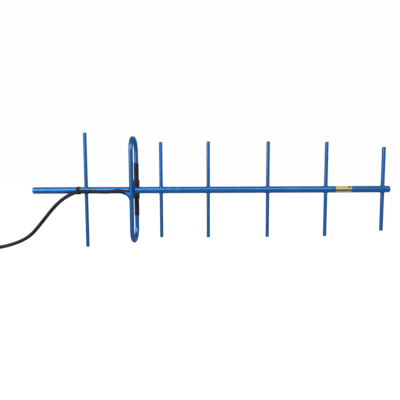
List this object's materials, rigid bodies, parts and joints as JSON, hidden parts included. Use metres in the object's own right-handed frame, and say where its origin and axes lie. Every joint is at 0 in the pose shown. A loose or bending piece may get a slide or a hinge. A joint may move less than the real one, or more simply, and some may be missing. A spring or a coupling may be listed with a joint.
{
  "type": "yagi antenna",
  "caption": "Welded directional antenna: a round boom with crossing rods, a folded dipole loop, black feed sleeves and a coaxial pigtail ending in a threaded plug.",
  "frame": {"origin": "on the boom's axis, in the middle of the bare stub behind the reflector, where the mast clamp grips", "axes": "+X along the boom towards the directors, +Z along the rods, -Y is the side the cable runs on"},
  "size_m": [1.307, 0.1177, 0.33],
  "materials": {
    "blue_coat": "aluminium with a smooth glossy blue coat",
    "blue_weld": "aluminium weld bead under the same blue coat",
    "black_shrink": "semi-matt black heat-shrink",
    "black_jacket": "semi-matt black cable jacket",
    "black_nylon": "black nylon",
    "label_film": "printed film, two-tone olive and pale grey-green",
    "copper_braid": null,
    "clear_plastic": "natural polyethylene",
    "white_insulator": "white PTFE",
    "nickel": "bright nickel plate",
    "gold_contact": "gold plate on brass",
    "gasket_rubber": "dull red silicone",
    "solder_metal": "tinned metal"
  },
  "bodies": {
    "antenna": {"boom_tube": "blue_coat", "boom_end_plugs": "blue_coat", "reflector_rod": "blue_coat", "director_rod_1": "blue_coat", "director_rod_2": "blue_coat", "director_rod_3": "blue_coat", "director_rod_4": "blue_coat", "director_rod_5": "blue_coat", "element_weld_beads": "blue_weld", "dipole_loop_tube": "blue_coat", "dipole_weld_bead": "blue_weld", "coax_entry_stub": "blue_coat", "coax_entry_boot": "black_shrink", "feed_braid": "copper_braid", "feed_dielectric": "clear_plastic", "feed_centre_conductor": "copper_braid", "feed_gap_insulator": "white_insulator", "feed_braid_ferrule": "solder_metal", "feed_solder_lug": "solder_metal", "feed_heat_shrink": "black_shrink", "feed_centre_sleeve": "black_shrink", "cable_tie": "black_nylon", "boom_label": "label_film", "coax_pigtail": "black_jacket", "plug_body": "nickel", "plug_retaining_ring": "gold_contact", "plug_centre_pin": "gold_contact", "plug_insulator": "white_insulator", "plug_gasket": "gasket_rubber", "plug_crimp_ferrule": "nickel", "plug_heat_shrink": "black_shrink"},
    "coupling_nut": {"plug_coupling_nut": "nickel"}
  },
  "joints": [
    {"name": "coupling_nut_spin", "type": "hinge", "parent": "antenna", "child": "coupling_nut", "pos_m": [-0.331, -0.038, -0.1548], "axis": [-1, 0, 0], "continuous": true}
  ]
}
